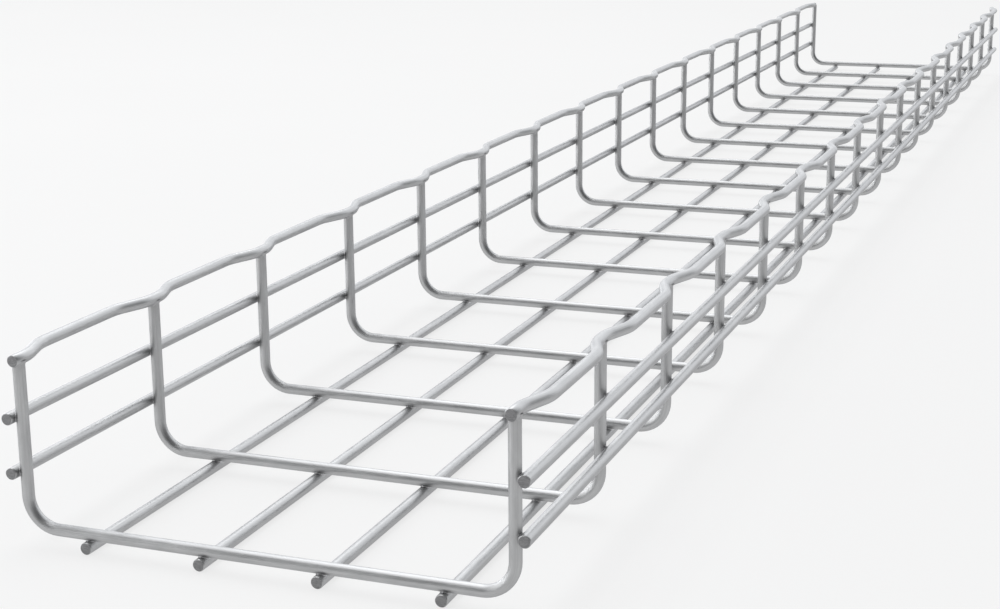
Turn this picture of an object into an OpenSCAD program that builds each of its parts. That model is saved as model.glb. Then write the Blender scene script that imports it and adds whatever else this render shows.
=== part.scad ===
// Wire mesh cable basket, straight section.
// U-shaped cross wires stand side by side along Y. Straight wires run under their bottom runs and outside
// their legs, and a wavy rim wire lies on the leg ends of each side. Every wire is a piece of its own.
// Origin: middle of the section, on the plane that the bottom wires rest on. +Y runs along the section, +Z up.

/* [Wire] */
// Diameter of every wire
wire_d = 5; // [4:0.5:6]
// How far two crossing wires are pressed into each other where they are welded
weld_sink = 0.3; // [0.1:0.05:0.4]

/* [Trough] */
// Clear width between the legs
inner_w = 200; // [150:10:300]
// Clear height from the bottom runs up to the tops of the rims
inner_h = 69; // [60:1:110]
// Bend radius of the cross wires, at the centre of the wire
corner_r = 13; // [10:1:20]

/* [Mesh] */
// Distance from one cross wire to the next
pitch = 100; // [90:5:125]
// Distance from one bottom wire to the next
bottom_gap = 50; // [40:2:50]
// Height of the lower side wires above the centre of the bottom runs
side_lower_h = 22.5; // [18:0.5:26]
// Height of the upper side wires above the centre of the bottom runs
side_upper_h = 45; // [38:0.5:48]
// Length of wire past the centre of the first and of the last cross wire
end_stub = 4; // [3.5:0.5:20]

/* [Rim] */
// How far the rim bulges outward between two cross wires
rim_bulge = 5.5; // [3:0.5:8]
// Length of each slanting part of the rim, from the leg to the bulge
rim_ramp = 24; // [20:1:30]
// Length of the straight part of the rim on top of a leg
rim_land = 4; // [2:1:8]
// Bend radius of the rim, at the centre of the wire
rim_bend_r = 15; // [10:1:20]

/* [Hidden] */
$fn = 24;

// Cross wires and bays between them
n_cross = 17;
n_bay = n_cross - 1;
n_bottom = 4;
section_l = n_bay * pitch + 2 * end_stub;

// Across the section: a leg, and a side wire welded outside it
wire_r = wire_d / 2;
weld_step = wire_d - weld_sink;
leg_x = inner_w / 2 + wire_r;
side_x = leg_x + weld_step;

// Upwards: the bottom wires, the bottom runs welded on them, and the rims on the leg ends
bottom_z = wire_r;
run_z = bottom_z + weld_step;
rim_z = run_z + inner_h;

// A leg reaches this far up the side of the rim that lies on it
leg_top_z = rim_z - wire_r / 2;

// Slant of the rim that joins the leg line and the bulge with two bends of rim_bend_r
slant_reach = norm([rim_ramp, 2 * rim_bend_r - rim_bulge]);
slant_a = asin(2 * rim_bend_r / slant_reach) - atan2(2 * rim_bend_r - rim_bulge, rim_ramp);
slant_l = (rim_ramp - 2 * rim_bend_r * sin(slant_a)) / cos(slant_a);
bulge_l = pitch - rim_land - 2 * rim_ramp;

// A bend of the rim is a hair thicker than the wire, and the straight parts next to it end inside it
bend_swell = 0.02;
bend_lap = 0.4;

zinc = [0.78, 0.80, 0.82];

// A straight wire along +Y from the origin
module straight_wire(length) {
    rotate([-90, 0, 0]) cylinder(h = length, d = wire_d);
}

// A bent wire that leaves the origin along +Y and turns towards +X through the angle a at the radius r
module bent_wire(r, a, d) {
    translate([r, 0, 0]) rotate([0, 0, 180 - a]) rotate_extrude(angle = a) translate([r, 0]) circle(d = d);
}

// A straight wire along the whole section, with its centre at x, z
module long_wire(x, z) {
    color(zinc) translate([x, -section_l / 2, z]) straight_wire(section_l);
}

// One of the bottom wires, counted from the left
module bottom_wire(i) {
    long_wire((i - (n_bottom + 1) / 2) * bottom_gap, bottom_z);
}

// Half of a cross wire: half of the bottom run, a corner and a leg, on the +X side
module half_cross_wire() {
    run_l = leg_x - corner_r;
    leg_l = leg_top_z - run_z - corner_r;
    rotate([0, 0, -90]) straight_wire(run_l);
    translate([run_l, 0, 0]) rotate([0, -90, -90]) bent_wire(corner_r, 90, wire_d);
    translate([leg_x, 0, corner_r]) cylinder(h = leg_l, d = wire_d);
}

// The cross wire number i, with the leg ends shaped to the rims that lie on them
module cross_wire(i) {
    saddle_l = 2 * wire_d;
    y = (i - 1 - n_bay / 2) * pitch;
    color(zinc) translate([0, y, 0]) difference() {
        translate([0, 0, run_z]) {
            half_cross_wire();
            mirror([1, 0, 0]) half_cross_wire();
        }
        for (side = [-1, 1]) {
            translate([side * leg_x, -saddle_l / 2, rim_z]) straight_wire(saddle_l);
        }
    }
}

// A straight part of the rim from the origin along +Y, with its ends inside the bends next to it
module rim_straight(length) {
    translate([0, -bend_lap, 0]) straight_wire(length + 2 * bend_lap);
}

// One bend of the rim from the origin, out of +Y towards +X
module rim_bend() {
    bent_wire(rim_bend_r, slant_a, wire_d + bend_swell);
}

// The slanting part of a rim from the leg line at the origin to the bulge at +X, along +Y
module rim_slant() {
    rim_bend();
    translate([rim_bend_r * (1 - cos(slant_a)), rim_bend_r * sin(slant_a), 0]) {
        rotate([0, 0, -slant_a]) rim_straight(slant_l);
    }
    translate([rim_bulge, rim_ramp, 0]) rotate([0, 0, 180]) rim_bend();
}

// The bulge of a rim between two legs, from the end of one leg's straight part to the start of the next one's
module rim_span() {
    rim_slant();
    translate([rim_bulge, rim_ramp, 0]) rim_straight(bulge_l);
    translate([0, 2 * rim_ramp + bulge_l, 0]) mirror([0, 1, 0]) rim_slant();
}

// The rim of the +X side
module rim_wire() {
    end_l = end_stub - rim_land / 2;
    color(zinc) translate([leg_x, -section_l / 2, rim_z]) {
        for (leg = [0 : n_bay]) {
            translate([0, leg * pitch + end_l, 0]) rim_straight(rim_land);
        }
        for (bay = [0 : n_bay - 1]) {
            translate([0, bay * pitch + end_l + rim_land, 0]) rim_span();
        }
        straight_wire(end_stub);
        translate([0, section_l - end_stub, 0]) straight_wire(end_stub);
    }
}

module rim_wire_left() { mirror([1, 0, 0]) rim_wire(); }
module rim_wire_right() { rim_wire(); }
module side_wire_left_lower() { long_wire(-side_x, run_z + side_lower_h); }
module side_wire_left_upper() { long_wire(-side_x, run_z + side_upper_h); }
module side_wire_right_lower() { long_wire(side_x, run_z + side_lower_h); }
module side_wire_right_upper() { long_wire(side_x, run_z + side_upper_h); }

cross_wire(1);  // cross_wire_01
cross_wire(2);  // cross_wire_02
cross_wire(3);  // cross_wire_03
cross_wire(4);  // cross_wire_04
cross_wire(5);  // cross_wire_05
cross_wire(6);  // cross_wire_06
cross_wire(7);  // cross_wire_07
cross_wire(8);  // cross_wire_08
cross_wire(9);  // cross_wire_09
cross_wire(10);  // cross_wire_10
cross_wire(11);  // cross_wire_11
cross_wire(12);  // cross_wire_12
cross_wire(13);  // cross_wire_13
cross_wire(14);  // cross_wire_14
cross_wire(15);  // cross_wire_15
cross_wire(16);  // cross_wire_16
cross_wire(17);  // cross_wire_17
bottom_wire(1);  // bottom_wire_1
bottom_wire(2);  // bottom_wire_2
bottom_wire(3);  // bottom_wire_3
bottom_wire(4);  // bottom_wire_4
side_wire_left_lower();
side_wire_left_upper();
side_wire_right_lower();
side_wire_right_upper();
rim_wire_left();
rim_wire_right();
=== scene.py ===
"""Wire mesh cable basket: zinc-plated wires with welds and cut ends, a pale floor, lights and camera."""

import math
import random

import bpy
from mathutils import Matrix, Vector

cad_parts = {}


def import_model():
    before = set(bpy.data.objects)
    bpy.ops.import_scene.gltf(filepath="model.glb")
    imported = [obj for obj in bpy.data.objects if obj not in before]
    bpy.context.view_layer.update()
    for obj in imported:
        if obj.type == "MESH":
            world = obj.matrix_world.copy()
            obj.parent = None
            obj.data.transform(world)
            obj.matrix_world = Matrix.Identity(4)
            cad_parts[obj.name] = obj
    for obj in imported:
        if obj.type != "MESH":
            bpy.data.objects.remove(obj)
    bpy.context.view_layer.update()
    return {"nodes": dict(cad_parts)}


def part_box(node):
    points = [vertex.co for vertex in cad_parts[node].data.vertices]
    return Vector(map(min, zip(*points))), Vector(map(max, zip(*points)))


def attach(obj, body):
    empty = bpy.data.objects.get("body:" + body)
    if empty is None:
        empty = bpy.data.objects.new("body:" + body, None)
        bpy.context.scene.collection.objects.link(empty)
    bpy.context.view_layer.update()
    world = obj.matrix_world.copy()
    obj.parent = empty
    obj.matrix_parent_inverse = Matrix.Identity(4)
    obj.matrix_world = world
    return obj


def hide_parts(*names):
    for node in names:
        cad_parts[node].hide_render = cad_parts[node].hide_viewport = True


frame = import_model()
random.seed(5)

# ---------------------------------------------------------------- sizes from the frame, in metres

MM = 0.001

N_CROSS = sum(name.startswith("cross_wire_") for name in frame["nodes"])
N_BOTTOM = sum(name.startswith("bottom_wire_") for name in frame["nodes"])


def middle(node):
    low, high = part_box(node)
    return (low + high) / 2


first_low, first_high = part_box("cross_wire_01")
bottom_low, bottom_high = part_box("bottom_wire_1")
rim_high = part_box("rim_wire_right")[1]

WIRE_R = (bottom_high.x - bottom_low.x) / 2
END_Y = bottom_high.y
LEG_X = first_high.x - WIRE_R
RUN_Z = first_low.z + WIRE_R
LEG_TOP_Z = first_high.z
RIM_Z = rim_high.z - WIRE_R
RIM_BULGE = rim_high.x - WIRE_R - LEG_X
BOTTOM_X = [middle(f"bottom_wire_{i + 1}").x for i in range(N_BOTTOM)]
CROSS_Y = [middle(f"cross_wire_{i + 1:02d}").y for i in range(N_CROSS)]
PITCH = CROSS_Y[1] - CROSS_Y[0]
SIDE_X = middle("side_wire_right_lower").x
SIDE_Z = [middle("side_wire_right_lower").z, middle("side_wire_right_upper").z]
BOTTOM_Z = middle("bottom_wire_1").z
WELD_SINK = 2 * WIRE_R - (RUN_Z - BOTTOM_Z)

# Bends: the corners as in the solids, and the rim's bends rounder than there
CORNER_R = 13 * MM
RIM_BEND_R = 24 * MM
RIM_RAMP = 24 * MM
RIM_LAND = 4 * MM

X = Vector((1, 0, 0))
Y = Vector((0, 1, 0))
Z = Vector((0, 0, 1))

# ---------------------------------------------------------------- materials

# Share of white light in the floor where it is seen or reflected
FLOOR_LIFT = 0.74


def new_material(name):
    mat = bpy.data.materials.new(name)
    mat.use_nodes = True
    nodes = mat.node_tree.nodes
    return mat, nodes, mat.node_tree.links, nodes["Principled BSDF"]


def noise(nodes, links, vector, scale, detail=3.0, roughness=0.5):
    tex = nodes.new("ShaderNodeTexNoise")
    tex.inputs["Scale"].default_value = scale
    tex.inputs["Detail"].default_value = detail
    tex.inputs["Roughness"].default_value = roughness
    links.new(vector, tex.inputs["Vector"])
    return tex.outputs["Fac"]


def stretch(nodes, links, vector, scale):
    mapping = nodes.new("ShaderNodeMapping")
    mapping.inputs["Scale"].default_value = scale
    links.new(vector, mapping.inputs["Vector"])
    return mapping.outputs["Vector"]


def remap(nodes, links, value, low, high, from_low=0.3, from_high=0.7):
    node = nodes.new("ShaderNodeMapRange")
    node.inputs["From Min"].default_value = from_low
    node.inputs["From Max"].default_value = from_high
    node.inputs["To Min"].default_value = low
    node.inputs["To Max"].default_value = high
    links.new(value, node.inputs["Value"])
    return node.outputs["Result"]


def mix_colour(nodes, links, factor, first, second):
    node = nodes.new("ShaderNodeMix")
    node.data_type = "RGBA"
    for socket, value in ((node.inputs[0], factor), (node.inputs[6], first), (node.inputs[7], second)):
        if isinstance(value, tuple):
            socket.default_value = (*value, 1.0)
        else:
            links.new(value, socket)
    return node.outputs[2]


def bump(nodes, links, height, distance, strength=1.0, normal=None):
    node = nodes.new("ShaderNodeBump")
    node.inputs["Strength"].default_value = strength
    node.inputs["Distance"].default_value = distance
    links.new(height, node.inputs["Height"])
    if normal is not None:
        links.new(normal, node.inputs["Normal"])
    return node.outputs["Normal"]


def attribute(nodes, name):
    node = nodes.new("ShaderNodeAttribute")
    node.attribute_name = name
    return node


def zinc_material():
    """Bright zinc plate on drawn wire: soft mottling, die lines along it, dull heat marks by the welds."""
    mat, nodes, links, bsdf = new_material("zinc_plated_wire")
    place = attribute(nodes, "wire_place").outputs["Vector"]
    heat = attribute(nodes, "weld_heat").outputs["Fac"]
    mottle = noise(nodes, links, stretch(nodes, links, place, (260, 260, 70)), 1.0, 4.0, 0.6)
    lines = noise(nodes, links, stretch(nodes, links, place, (2600, 2600, 30)), 1.0, 2.0)
    grain = noise(nodes, links, place, 5200, 2.0)
    mottled = remap(nodes, links, mottle, 0, 1)
    plate = mix_colour(nodes, links, mottled, (0.43, 0.435, 0.44), (0.58, 0.585, 0.59))
    lined = mix_colour(nodes, links, remap(nodes, links, lines, 0, 0.45), plate, (0.36, 0.36, 0.365))
    burnt = nodes.new("ShaderNodeMath")
    burnt.operation = "MULTIPLY"
    links.new(heat, burnt.inputs[0])
    links.new(remap(nodes, links, grain, 0.35, 0.75), burnt.inputs[1])
    marked = mix_colour(nodes, links, burnt.outputs[0], lined, (0.37, 0.368, 0.365))
    links.new(marked, bsdf.inputs["Base Color"])
    bsdf.inputs["Metallic"].default_value = 1.0
    bsdf.inputs["Specular Tint"].default_value = (0.80, 0.80, 0.81, 1.0)
    rough = nodes.new("ShaderNodeMath")
    rough.operation = "MULTIPLY_ADD"
    rough.inputs[1].default_value = 0.16
    links.new(heat, rough.inputs[0])
    links.new(remap(nodes, links, mottle, 0.36, 0.48), rough.inputs[2])
    links.new(rough.outputs[0], bsdf.inputs["Roughness"])
    fine = bump(nodes, links, grain, 0.02 * MM, 0.5)
    links.new(bump(nodes, links, lines, 0.03 * MM, 0.6, fine), bsdf.inputs["Normal"])
    return mat


def cut_material():
    """Sheared wire end: bare steel, dull, with the burnished and the torn part of the cut."""
    mat, nodes, links, bsdf = new_material("sheared_end")
    place = nodes.new("ShaderNodeTexCoord").outputs["Object"]
    torn = noise(nodes, links, stretch(nodes, links, place, (900, 900, 2600)), 1.0, 4.0, 0.6)
    shade = remap(nodes, links, torn, 0, 1)
    colour = mix_colour(nodes, links, shade, (0.19, 0.19, 0.195), (0.34, 0.34, 0.345))
    links.new(colour, bsdf.inputs["Base Color"])
    bsdf.inputs["Metallic"].default_value = 0.7
    links.new(remap(nodes, links, torn, 0.45, 0.62), bsdf.inputs["Roughness"])
    links.new(bump(nodes, links, torn, 0.12 * MM, 0.8), bsdf.inputs["Normal"])
    return mat


def weld_material():
    """Squeezed metal round a resistance weld: plated over, rougher and a little darker than the wire."""
    mat, nodes, links, bsdf = new_material("weld_flash")
    place = nodes.new("ShaderNodeTexCoord").outputs["Object"]
    lumps = noise(nodes, links, place, 1500, 4.0, 0.6)
    shade = remap(nodes, links, lumps, 0, 1)
    colour = mix_colour(nodes, links, shade, (0.36, 0.36, 0.365), (0.54, 0.54, 0.55))
    links.new(colour, bsdf.inputs["Base Color"])
    bsdf.inputs["Metallic"].default_value = 1.0
    links.new(remap(nodes, links, lumps, 0.42, 0.60), bsdf.inputs["Roughness"])
    links.new(bump(nodes, links, lumps, 0.15 * MM, 0.7), bsdf.inputs["Normal"])
    return mat


def floor_material():
    """Pale matt floor, lifted to white where it is seen or reflected, that keeps the object's shadow."""
    mat, nodes, links, bsdf = new_material("pale_floor")
    place = nodes.new("ShaderNodeTexCoord").outputs["Object"]
    tone = noise(nodes, links, place, 3.0, 2.0)
    shade = remap(nodes, links, tone, 0, 1)
    colour = mix_colour(nodes, links, shade, (0.64, 0.64, 0.64), (0.66, 0.66, 0.66))
    links.new(colour, bsdf.inputs["Base Color"])
    bsdf.inputs["Roughness"].default_value = 0.9
    bsdf.inputs["Specular IOR Level"].default_value = 0.1
    path = nodes.new("ShaderNodeLightPath")
    seen = nodes.new("ShaderNodeMath")
    seen.use_clamp = True
    links.new(path.outputs["Is Camera Ray"], seen.inputs[0])
    links.new(path.outputs["Is Glossy Ray"], seen.inputs[1])
    shown = nodes.new("ShaderNodeMath")
    shown.use_clamp = True
    links.new(seen.outputs[0], shown.inputs[0])
    links.new(path.outputs["Is Transmission Ray"], shown.inputs[1])
    share = nodes.new("ShaderNodeMath")
    share.operation = "MULTIPLY"
    share.inputs[1].default_value = FLOOR_LIFT
    links.new(shown.outputs[0], share.inputs[0])
    white = nodes.new("ShaderNodeEmission")
    white.inputs["Strength"].default_value = 1.0
    mixed = nodes.new("ShaderNodeMixShader")
    links.new(share.outputs[0], mixed.inputs[0])
    links.new(bsdf.outputs[0], mixed.inputs[1])
    links.new(white.outputs[0], mixed.inputs[2])
    links.new(mixed.outputs[0], nodes["Material Output"].inputs["Surface"])
    return mat


ZINC = zinc_material()
CUT = cut_material()
WELD = weld_material()
FLOOR = floor_material()

# ---------------------------------------------------------------- wires

# Corners of a wire's round section, and the rounding of a cut end's edge
SIDES = 28
EDGE_ROUND = 0.25 * MM

# Steps along one bend of a rim and of a cross wire
RIM_STEPS = 8
CORNER_STEPS = 12

# Heat marks fade out at this distance from a weld, by this power
HEAT_REACH = 5 * MM
HEAT_FADE = 1.5

# Rings on both sides of a weld, and below a leg's shaped end
WELD_STOPS = [-6 * MM, -3 * MM, -1.2 * MM, 0, 1.2 * MM, 3 * MM, 6 * MM]
COPE_STOPS = [2 * MM, 4 * MM]


def arc(centre, start, turn, radius, steps, plane):
    """Points on an arc after its first one. The angle runs from plane's first direction to its second."""
    first, second = plane
    points = []
    for k in range(1, steps + 1):
        a = start + turn * k / steps
        points.append(centre + radius * (math.cos(a) * first + math.sin(a) * second))
    return points


def straight(start, end, stops):
    """Points from start to end, with one at each stop, a distance along the way."""
    length = (end - start).length
    marks = sorted({round(s, 6) for s in stops if 0 < s < length} | {length})
    return [start + (end - start) * (mark / length) for mark in marks]


def sweep(name, path, welds, cope=None):
    """A round wire along the path. welds are the places that carry heat marks.

    cope moves the points of the two end rings onto another wire. Without it the ends are cut flat, with
    rounded edges.
    """
    tangents = []
    for k in range(len(path)):
        before = path[max(k - 1, 0)]
        after = path[min(k + 1, len(path) - 1)]
        tangents.append((after - before).normalized())
    side = tangents[0].orthogonal().normalized()
    verts, places, heats, faces, caps = [], [], [], [], []
    travelled = 0.0
    offset = random.uniform(0, 2)
    for k, (point, tangent) in enumerate(zip(path, tangents)):
        if k:
            travelled += (point - path[k - 1]).length
        side = (side - tangent * side.dot(tangent)).normalized()
        other = tangent.cross(side)
        radius = WIRE_R
        if not cope and k in (0, len(path) - 1):
            radius -= EDGE_ROUND
        for s in range(SIDES):
            a = 2 * math.pi * s / SIDES
            out = math.cos(a) * side + math.sin(a) * other
            spot = point + radius * out
            if cope and k in (0, len(path) - 1):
                spot = cope(spot)
            verts.append(spot)
            places.append((WIRE_R * math.cos(a), WIRE_R * math.sin(a), travelled + offset))
            near = min((spot - weld).length for weld in welds)
            heats.append(max(0.0, 1.0 - near / HEAT_REACH) ** HEAT_FADE)
    rings = len(path)
    for k in range(rings - 1):
        for s in range(SIDES):
            t = (s + 1) % SIDES
            faces.append((k * SIDES + s, k * SIDES + t, (k + 1) * SIDES + t, (k + 1) * SIDES + s))
    for k, sign in ((0, -1), (rings - 1, 1)):
        hub = len(verts)
        verts.append(path[k])
        places.append((0, 0, offset))
        heats.append(0.0)
        for s in range(SIDES):
            t = (s + 1) % SIDES
            ring = (k * SIDES + t, k * SIDES + s) if sign < 0 else (k * SIDES + s, k * SIDES + t)
            caps.append(len(faces))
            faces.append((*ring, hub))
    return finish_wire(name, verts, faces, caps, places, heats, bool(cope))


def finish_wire(name, verts, faces, caps, places, heats, coped):
    """The wire's object, with sharp edges round its caps and bare steel on caps that aren't coped."""
    mesh = bpy.data.meshes.new(name)
    mesh.from_pydata(verts, [], faces)
    mesh.materials.append(ZINC)
    mesh.materials.append(CUT)
    for polygon in mesh.polygons:
        polygon.use_smooth = True
    if not coped:
        for index in caps:
            mesh.polygons[index].material_index = 1
    cap_edges = {}
    for polygon in mesh.polygons:
        for key in polygon.edge_keys:
            cap_edges.setdefault(key, set()).add(polygon.index in caps)
    for edge in mesh.edges:
        edge.use_edge_sharp = len(cap_edges[tuple(sorted(edge.vertices))]) == 2
    place = mesh.attributes.new("wire_place", "FLOAT_VECTOR", "POINT")
    place.data.foreach_set("vector", [value for triple in places for value in triple])
    heat = mesh.attributes.new("weld_heat", "FLOAT", "POINT")
    heat.data.foreach_set("value", heats)
    mesh.validate()
    return bpy.data.objects.new(name, mesh)


def add_piece(piece, *nodes):
    bpy.context.scene.collection.objects.link(piece)
    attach(piece, "root")
    if nodes:
        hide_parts(*nodes)


def stops_near(places, start):
    """Distances from start at which a wire gets rings, so that heat marks fade over a few millimetres."""
    return [place - start + step for place in places for step in WELD_STOPS]


def long_wire(name, x, z, weld_offset):
    """A straight lengthwise wire. weld_offset points from its centre to the side that is welded."""
    start = Vector((x, -END_Y, z))
    end = Vector((x, END_Y, z))
    edge = Vector((0, EDGE_ROUND, 0))
    path = [start, start + edge]
    path += straight(start + edge, end - edge, stops_near(CROSS_Y, -END_Y + EDGE_ROUND))
    path.append(end)
    welds = [Vector((x, y, z)) + weld_offset for y in CROSS_Y]
    add_piece(sweep(name, path, welds), name)


def rim_points():
    """Centre line of the right rim: in line with the leg at each cross wire, bulged outward in between."""
    twice = 2 * RIM_BEND_R
    reach = math.hypot(RIM_RAMP, twice - RIM_BULGE)
    slant = math.asin(twice / reach) - math.atan2(twice - RIM_BULGE, RIM_RAMP)
    half_land = RIM_LAND / 2
    bend_out = Vector((RIM_BEND_R, half_land, 0))
    bend_in = Vector((RIM_BULGE - RIM_BEND_R, half_land + RIM_RAMP, 0))
    bay = [Vector((0, half_land, 0))]
    bay += arc(bend_out, math.pi, -slant, RIM_BEND_R, RIM_STEPS, (X, Y))
    bay.append(bend_in + RIM_BEND_R * (math.cos(-slant) * X + math.sin(-slant) * Y))
    bay += arc(bend_in, -slant, slant, RIM_BEND_R, RIM_STEPS, (X, Y))
    bay += [Vector((p.x, PITCH - p.y, 0)) for p in reversed(bay)]
    points = [Vector((0, -END_Y - CROSS_Y[0], 0)), Vector((0, -END_Y - CROSS_Y[0] + EDGE_ROUND, 0))]
    for i in range(N_CROSS - 1):
        points += [Vector((p.x, p.y + i * PITCH, 0)) for p in bay]
    last = (N_CROSS - 1) * PITCH
    tail = END_Y + CROSS_Y[0]
    # Known fault: the far end belongs at last + tail, and here it folds back and stops before the last leg
    points += [Vector((0, last - tail - EDGE_ROUND, 0)), Vector((0, last - tail, 0))]
    return points


def rim_wire(name, sign):
    path = [Vector((sign * (LEG_X + p.x), CROSS_Y[0] + p.y, RIM_Z)) for p in rim_points()]
    welds = [Vector((sign * LEG_X, y, RIM_Z - WIRE_R)) for y in CROSS_Y]
    add_piece(sweep(name, path, welds), name)


def leg_stops():
    """Distances from a leg's top at which it gets rings, for its shaped end and the side wires' welds."""
    return stops_near([LEG_TOP_Z - z for z in reversed(SIDE_Z)], 0) + COPE_STOPS


def cross_wire(name, y):
    """A U-shaped wire whose leg ends are shaped to the rims that lie on them."""
    corner = Vector((LEG_X - CORNER_R, 0, RUN_Z + CORNER_R))
    leg = straight(Vector((LEG_X, 0, LEG_TOP_Z)), Vector((LEG_X, 0, corner.z)), leg_stops())
    half = [Vector((LEG_X, 0, LEG_TOP_Z))] + leg
    half += arc(corner, 0, -math.pi / 2, CORNER_R, CORNER_STEPS, (X, Z))
    run_end = Vector((corner.x, 0, RUN_Z))
    half += straight(run_end, Vector((0, 0, RUN_Z)), stops_near([-x for x in BOTTOM_X], -corner.x))
    path = [Vector((-p.x, y, p.z)) for p in half] + [Vector((p.x, y, p.z)) for p in reversed(half[:-1])]
    welds = [Vector((x, y, RUN_Z - WIRE_R)) for x in BOTTOM_X]
    for sign in (-1, 1):
        welds += [Vector((sign * (LEG_X + WIRE_R), y, z)) for z in SIDE_Z]
        welds.append(Vector((sign * LEG_X, y, RIM_Z - WIRE_R)))

    def cope(spot):
        reach = min(abs(abs(spot.x) - LEG_X), WIRE_R)
        return Vector((spot.x, spot.y, min(LEG_TOP_Z, RIM_Z - math.sqrt(WIRE_R**2 - reach**2))))

    add_piece(sweep(name, path, welds, cope), name)


# ---------------------------------------------------------------- welds

# A collar between two crossing wires: its mean radius in wire radii, its narrower waist, how far it laps in
RING_STEPS = 20
RING_REACH = 0.80
RING_WAIST = 0.86
RING_LAP = 0.03 * MM

# A collar round a leg's end: how far each row stands out from the leg and up from the rim's underside
COLLAR_STEPS = 24
COLLAR_ROWS = ((0.0, -0.75 * MM), (0.30 * MM, -0.25 * MM), (0.42 * MM, 0.22 * MM))
COLLAR_FLANK = 0.97 * WIRE_R


def collar_faces(faces, base, steps):
    """Quads between the three rows of a collar whose first vertex is base."""
    for k in range(steps):
        n = (k + 1) % steps
        for row in range(2):
            near, far = base + 3 * k + row, base + 3 * n + row
            faces.append((near, far, far + 1, near + 1))


def weld_ring(verts, faces, centre, normal, first, second):
    """A collar of squeezed metal in the wedge between two crossing wires.

    normal points from the wire along first to the wire along second, and centre lies between them.
    """
    base = len(verts)
    sink = WELD_SINK / 2
    for k in range(RING_STEPS):
        a = 2 * math.pi * k / RING_STEPS
        reach = WIRE_R * (RING_REACH + random.uniform(-0.05, 0.07))
        for share, level in ((1.0, -1), (RING_WAIST, 0), (1.0, 1)):
            u = reach * share * math.cos(a)
            v = reach * share * math.sin(a)
            across = v if level < 0 else u
            drop = WIRE_R - math.sqrt(WIRE_R**2 - across**2) - sink
            height = level * (drop - RING_LAP)
            verts.append(centre + u * first + v * second + height * normal)
    collar_faces(faces, base, RING_STEPS)


def rim_collar(verts, faces, x, y):
    """A collar of squeezed metal round a leg's end, where it meets the rim on top of it."""
    base = len(verts)
    for k in range(COLLAR_STEPS):
        a = 2 * math.pi * k / COLLAR_STEPS
        wobble = random.uniform(-0.06, 0.08) * MM
        for out, lift in COLLAR_ROWS:
            dx = (WIRE_R + out + wobble) * math.cos(a)
            dy = (WIRE_R + out + wobble) * math.sin(a)
            drop = math.sqrt(WIRE_R**2 - min(abs(dx), COLLAR_FLANK) ** 2)
            verts.append(Vector((x + dx, y + dy, RIM_Z - drop + lift)))
    collar_faces(faces, base, COLLAR_STEPS)


def weld_piece(name, build):
    verts, faces = [], []
    build(verts, faces)
    mesh = bpy.data.meshes.new(name)
    mesh.from_pydata(verts, [], faces)
    mesh.materials.append(WELD)
    for polygon in mesh.polygons:
        polygon.use_smooth = True
    mesh.validate()
    add_piece(bpy.data.objects.new(name, mesh))


def floor_welds(verts, faces):
    for y in CROSS_Y:
        for x in BOTTOM_X:
            weld_ring(verts, faces, Vector((x, y, (RUN_Z + BOTTOM_Z) / 2)), -Z, X, Y)


def side_welds(sign):
    def build(verts, faces):
        for y in CROSS_Y:
            for z in SIDE_Z:
                weld_ring(verts, faces, Vector((sign * (LEG_X + SIDE_X) / 2, y, z)), sign * X, Z, Y)
    return build


def rim_welds(sign):
    def build(verts, faces):
        for y in CROSS_Y:
            rim_collar(verts, faces, sign * LEG_X, y)
    return build


# ---------------------------------------------------------------- the basket

for i, y in enumerate(CROSS_Y):
    cross_wire(f"cross_wire_{i + 1:02d}", y)
for i, x in enumerate(BOTTOM_X):
    long_wire(f"bottom_wire_{i + 1}", x, BOTTOM_Z, Vector((0, 0, WIRE_R)))
for side_name, sign in (("left", -1), ("right", 1)):
    for level, z in zip(("lower", "upper"), SIDE_Z):
        long_wire(f"side_wire_{side_name}_{level}", sign * SIDE_X, z, Vector((-sign * WIRE_R, 0, 0)))
    rim_wire(f"rim_wire_{side_name}", sign)
    weld_piece(f"side_welds_{side_name}", side_welds(sign))
    weld_piece(f"rim_welds_{side_name}", rim_welds(sign))
weld_piece("floor_welds", floor_welds)

# ---------------------------------------------------------------- floor, light and camera


def floor():
    bpy.ops.mesh.primitive_plane_add(size=60, location=(0, 0, 0))
    plane = bpy.context.object
    plane.name = "floor"
    plane.data.materials.append(FLOOR)


# Where the world is brightest, its level away from there and there, the low band on the left, and what
# the camera sees in its place
BRIGHT_SIDE = (-0.30, 0.9, 0.30)
WORLD_DIM = 0.20
WORLD_BRIGHT = 1.6
LOW_LIGHT = 4.0
WORLD_SEEN = 0.93


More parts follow.
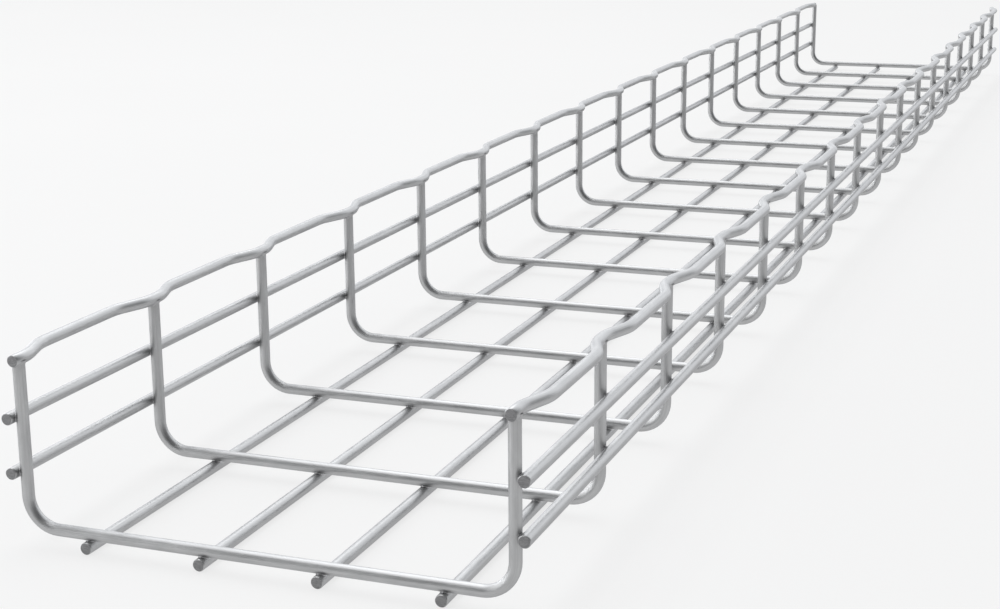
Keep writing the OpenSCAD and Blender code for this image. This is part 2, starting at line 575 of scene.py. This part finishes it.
def world():
    """Studio air: bright beyond the far end, a low band of light on the left, and dim on the right.

    This is what the object and the floor are lit by. The camera sees the floor's own pale tone instead.
    """
    scene_world = bpy.data.worlds.new("studio")
    bpy.context.scene.world = scene_world
    scene_world.use_nodes = True
    nodes = scene_world.node_tree.nodes
    links = scene_world.node_tree.links
    direction = nodes.new("ShaderNodeTexCoord").outputs["Generated"]
    facing = nodes.new("ShaderNodeVectorMath")
    facing.operation = "DOT_PRODUCT"
    facing.inputs[1].default_value = Vector(BRIGHT_SIDE).normalized()
    links.new(direction, facing.inputs[0])
    level = remap(nodes, links, facing.outputs["Value"], WORLD_DIM, WORLD_BRIGHT, 0.05, 0.8)
    parts = nodes.new("ShaderNodeSeparateXYZ")
    links.new(direction, parts.inputs[0])
    left = remap(nodes, links, parts.outputs["X"], 1, 0, -0.85, -0.45)
    low = remap(nodes, links, parts.outputs["Z"], LOW_LIGHT, 0, 0.07, 0.15)
    band = nodes.new("ShaderNodeMath")
    band.operation = "MULTIPLY_ADD"
    links.new(left, band.inputs[0])
    links.new(low, band.inputs[1])
    links.new(level, band.inputs[2])
    for node in nodes:
        if node.bl_idname == "ShaderNodeMapRange":
            node.interpolation_type = "SMOOTHSTEP"
    lit = nodes["Background"]
    lit.inputs["Color"].default_value = (0.97, 0.985, 1.0, 1.0)
    links.new(band.outputs[0], lit.inputs["Strength"])
    seen = nodes.new("ShaderNodeBackground")
    seen.inputs["Color"].default_value = (1.0, 1.0, 1.0, 1.0)
    seen.inputs["Strength"].default_value = WORLD_SEEN
    mixed = nodes.new("ShaderNodeMixShader")
    links.new(nodes.new("ShaderNodeLightPath").outputs["Is Camera Ray"], mixed.inputs[0])
    links.new(lit.outputs[0], mixed.inputs[1])
    links.new(seen.outputs[0], mixed.inputs[2])
    links.new(mixed.outputs[0], nodes["World Output"].inputs["Surface"])


def softbox(name, place, target, size, radiance):
    """A rectangular lamp at place that points at target and that the camera doesn't see."""
    lamp = bpy.data.lights.new(name, "AREA")
    lamp.shape = "RECTANGLE"
    lamp.size, lamp.size_y = size
    lamp.energy = radiance * math.pi * size[0] * size[1]
    box = bpy.data.objects.new(name, lamp)
    box.location = place
    box.rotation_euler = (Vector(target) - Vector(place)).to_track_quat("-Z", "Y").to_euler()
    box.visible_camera = False
    bpy.context.scene.collection.objects.link(box)


def lights():
    softbox("key", (-2.6, -1.6, 1.25), (0, -1.2, 0.05), (5.0, 1.5), 1.5)
    softbox("top", (-0.65, -0.1, 1.9), (-0.65, -0.1, 0), (0.8, 4.0), 1.8)


def camera():
    """The view along the section from its near right corner, a little above the rims."""
    place = Vector((0.3104, -1.3660, 0.2700))
    turn, down, roll = -0.3601, 0.2517, -0.0082
    view = Vector((math.sin(turn) * math.cos(down), math.cos(turn) * math.cos(down), -math.sin(down)))
    level = Vector((math.cos(turn), -math.sin(turn), 0))
    upright = level.cross(view)
    right = level * math.cos(roll) + upright * math.sin(roll)
    up = right.cross(view)
    data = bpy.data.cameras.new("camera")
    data.sensor_width = 36
    data.lens = 65.2
    data.clip_start = 0.01
    shooter = bpy.data.objects.new("camera", data)
    rows = Matrix((right, up, -view)).transposed()
    shooter.matrix_world = Matrix.Translation(place) @ rows.to_4x4()
    bpy.context.scene.collection.objects.link(shooter)
    bpy.context.scene.camera = shooter


floor()
world()
lights()
camera()
bpy.context.scene.view_settings.view_transform = "Standard"
